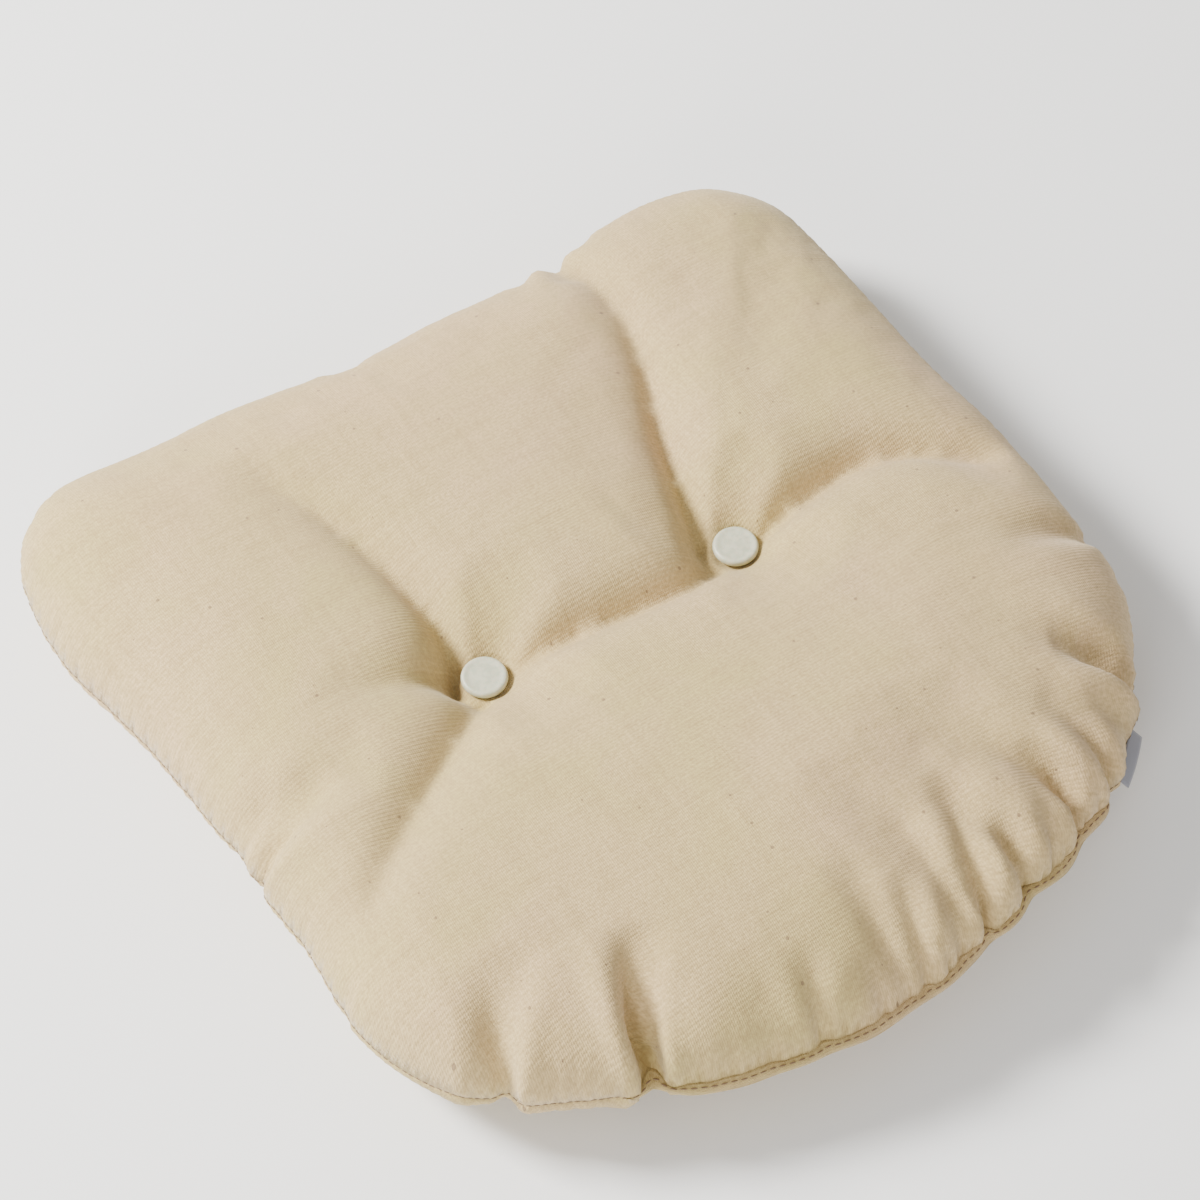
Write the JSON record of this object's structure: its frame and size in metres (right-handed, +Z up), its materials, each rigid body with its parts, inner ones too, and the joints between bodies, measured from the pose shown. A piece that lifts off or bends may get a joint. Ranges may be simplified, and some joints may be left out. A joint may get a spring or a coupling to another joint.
{
  "type": "chair seat pad",
  "caption": "Puffy natural canvas seat pad for a horseshoe-shaped chair seat, tufted with plain buttons and sewn shut along its rounded front.",
  "frame": {"origin": "bottom centre of the pad's box, on the surface the pad lies on", "axes": "+Z up through the pad, +Y to the straight back edge, +X to the right of a person sitting on it"},
  "size_m": [0.4, 0.41, 0.086],
  "materials": {
    "canvas": "unbleached cotton canvas with a fine twill and dark neps",
    "fibre": "loose white polyester fibre",
    "thread": "tan spun thread",
    "label": "blank woven satin tape",
    "button": "smooth off-white moulded plastic",
    "plate": "stamped sheet",
    "wire": "drawn wire",
    "twine": "waxed white twine"
  },
  "bodies": {
    "root": {"top_panel": "canvas", "bottom_panel": "canvas", "fibre_fill": "fibre", "seam_thread": "thread", "closing_stitches": "thread", "side_label": "label", "left_button_cap": "button", "left_button_plate": "plate", "left_wire_eye": "wire", "left_tuft_twine": "twine", "left_under_button": "button", "right_button_cap": "button", "right_button_plate": "plate", "right_wire_eye": "wire", "right_tuft_twine": "twine", "right_under_button": "button"}
  },
  "joints": []
}
